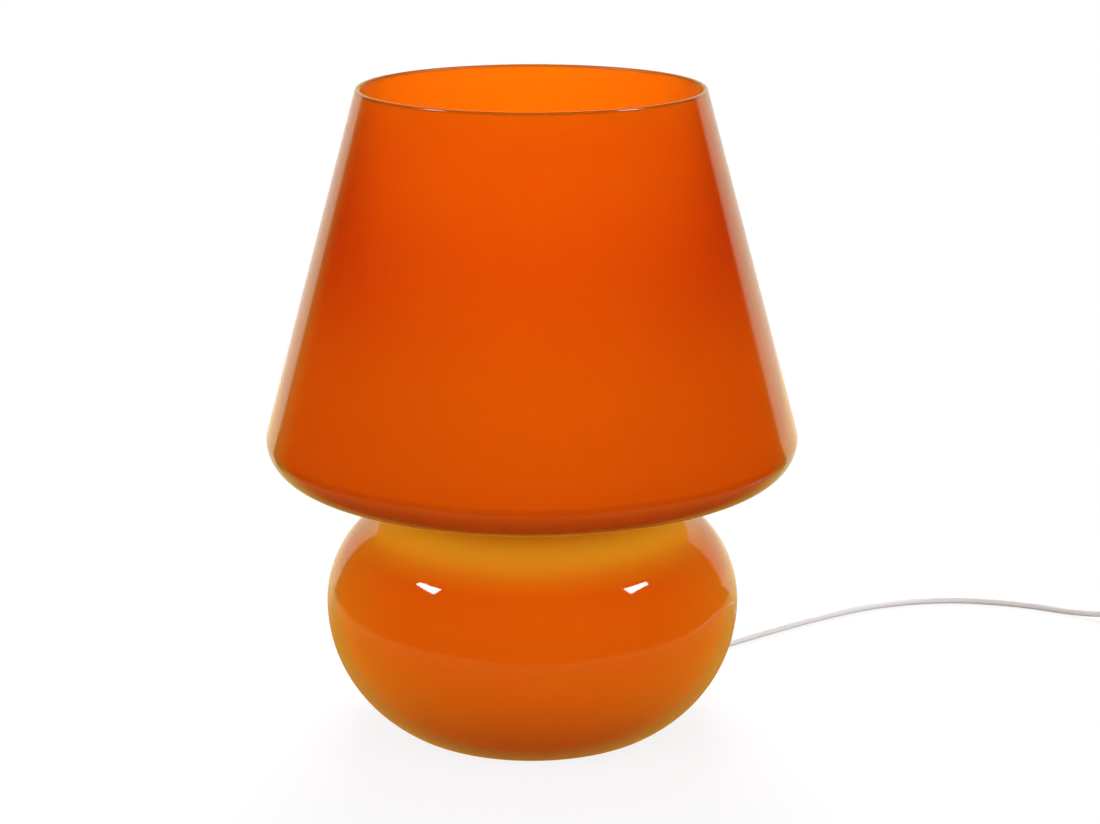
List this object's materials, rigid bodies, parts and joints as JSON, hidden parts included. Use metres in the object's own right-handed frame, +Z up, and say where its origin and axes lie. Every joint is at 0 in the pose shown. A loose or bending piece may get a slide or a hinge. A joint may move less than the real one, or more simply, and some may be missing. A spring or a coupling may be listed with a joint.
{
  "type": "mushroom table lamp",
  "caption": "Table lamp of orange glass: cone shade open at the top on a squat round base, blown in one piece, with lampholder, bulb, white cord, rocker switch and plug.",
  "frame": {"origin": "centre of the foot, on the table", "axes": "+Z up along the lamp's axis, +Y towards the cord's hole at the back"},
  "size_m": [0.5031, 0.6468, 0.42],
  "materials": {
    "orange_glass": "translucent, glossy",
    "clear_bush": "soft, satin",
    "white_cord": "smooth PVC",
    "white_plastic": "moulded, satin",
    "gasket_rubber": "matte",
    "plate_white": "white powder coat",
    "spring_steel": "plain",
    "zinc_steel": "zinc plated",
    "brass": "plain",
    "black_holder": "phenolic",
    "white_ceramic": "unglazed",
    "live_core": "PVC",
    "neutral_core": "PVC",
    "opal_bulb": "frosted",
    "clear_bulb_stem": "clear",
    "nickel_cap": "plain",
    "black_insulator": "black",
    "tungsten": "drawn wire",
    "nickel_pins": "nickel plated"
  },
  "bodies": {
    "lamp": {"glass_body": "orange_glass", "cord_bush": "clear_bush", "neck_gasket": "gasket_rubber", "neck_plate": "plate_white", "spring_clips": "spring_steel", "clip_rivets": "zinc_steel", "threaded_stem": "zinc_steel", "stem_nut": "zinc_steel", "stem_washers": "zinc_steel", "stem_bush": "white_plastic", "holder_cap": "black_holder", "holder_lock_screw": "zinc_steel", "holder_insert": "white_ceramic", "holder_skirt": "black_holder", "centre_contact": "brass", "side_contact": "brass", "terminal_screws": "brass", "inner_cord": "white_cord", "live_wire": "live_core", "neutral_wire": "neutral_core", "cord_run": "white_cord", "cord_link": "white_cord", "cord_coil": "white_cord", "cord_tail": "white_cord", "coil_tie": "white_plastic", "switch_base": "white_plastic", "switch_cover": "white_plastic", "switch_screws": "zinc_steel", "switch_terminals": "brass", "plug_body": "white_plastic", "plug_sleeve": "white_plastic", "plug_pins": "nickel_pins"},
    "bulb": {"bulb_globe": "opal_bulb", "bulb_cap": "nickel_cap", "bulb_insulator": "black_insulator", "bulb_contact": "zinc_steel", "bulb_stem": "clear_bulb_stem", "bulb_filament": "tungsten"},
    "rocker": {"switch_rocker": "white_plastic"}
  },
  "joints": [
    {"name": "bulb_lift", "type": "slide", "parent": "lamp", "child": "bulb", "axis": [0, 0, 1], "range_m": [0, 0.04]},
    {"name": "rocker_tilt", "type": "hinge", "parent": "lamp", "child": "rocker", "pos_m": [0.2084, 0.4539, 0.015], "axis": [0.309, -0.9511, 0], "range_deg": [0, 16]}
  ]
}
